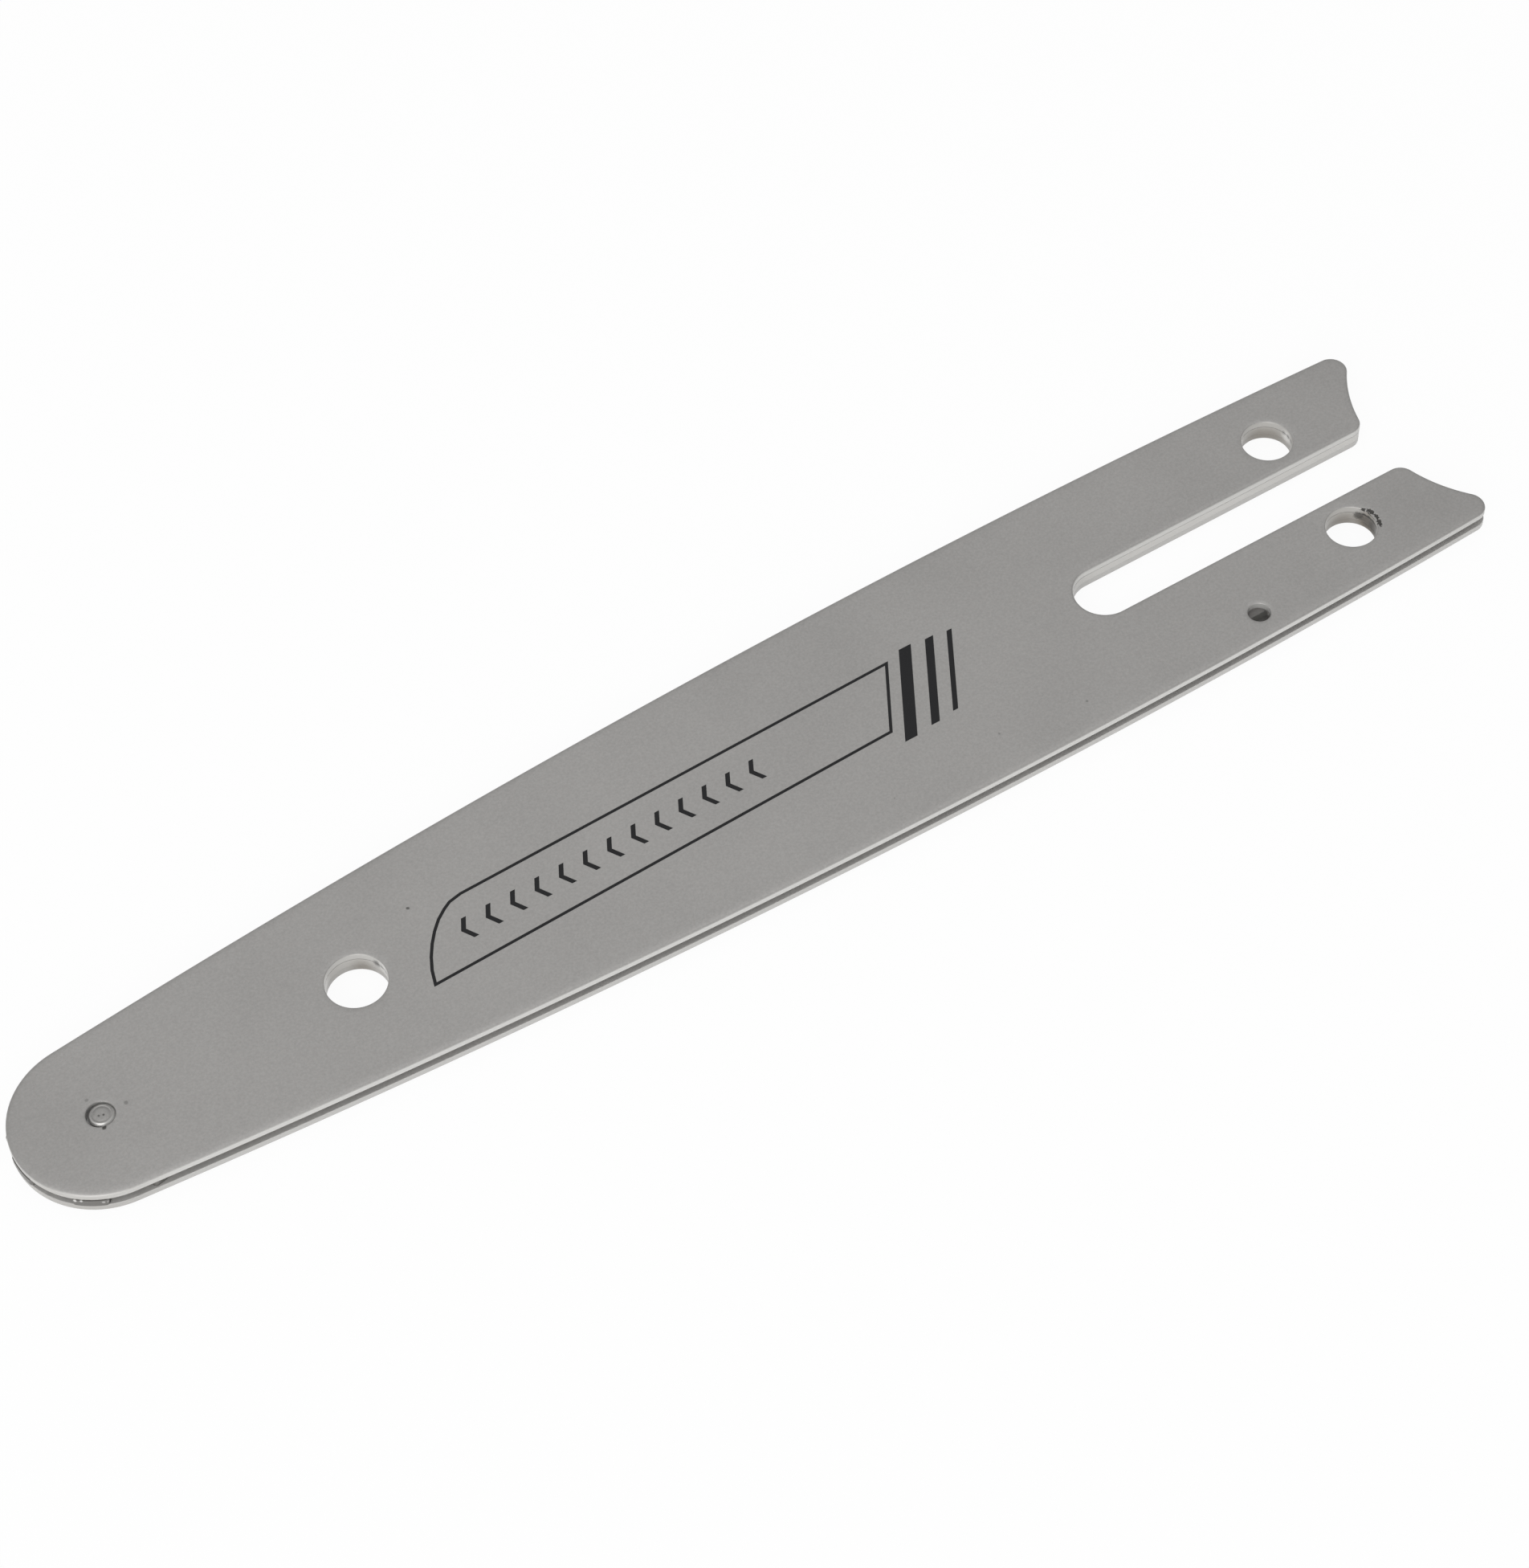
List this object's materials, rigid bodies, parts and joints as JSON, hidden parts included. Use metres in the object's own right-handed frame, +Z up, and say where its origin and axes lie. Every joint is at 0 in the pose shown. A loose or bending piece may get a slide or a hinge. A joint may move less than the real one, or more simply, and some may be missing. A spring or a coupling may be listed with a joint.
{
  "type": "chainsaw guide bar",
  "caption": "Flat laminated guide bar with a chain groove all round its edge, a forked tail with a stud slot and a round nose that holds a toothed wheel.",
  "frame": {"origin": "under the middle of the bar, on the face it lies on", "axes": "+X along the bar towards the nose, +Y across the bar towards the rail nearest the camera, +Z up out of the face with the marking"},
  "size_m": [0.2117, 0.0368, 0.0034],
  "materials": {
    "plate_steel": "matt blasted steel",
    "core_steel": "rolled sheet steel",
    "sprocket_steel": "hardened steel with bright tooth tips",
    "bearing_steel": "ground bearing steel",
    "rivet_steel": "pressed rivet steel"
  },
  "bodies": {
    "bar": {"top_side_plate": "plate_steel", "bottom_side_plate": "plate_steel", "core_plate": "core_steel", "sprocket_hub": "bearing_steel", "nose_rivet": "rivet_steel"},
    "sprocket": {"nose_sprocket": "sprocket_steel"},
    "rollers": {"bearing_rollers": "bearing_steel"}
  },
  "joints": [
    {"name": "sprocket_spin", "type": "hinge", "parent": "bar", "child": "sprocket", "pos_m": [0.0943, 0, 0.0017], "axis": [0, 0, 1], "continuous": true},
    {"name": "roller_orbit", "type": "hinge", "parent": "bar", "child": "rollers", "pos_m": [0.0943, 0, 0.0017], "axis": [0, 0, 1], "continuous": true}
  ],
  "couplings": [
    {"joint": "roller_orbit", "follows": "sprocket_spin", "ratio": 0.59811}
  ]
}
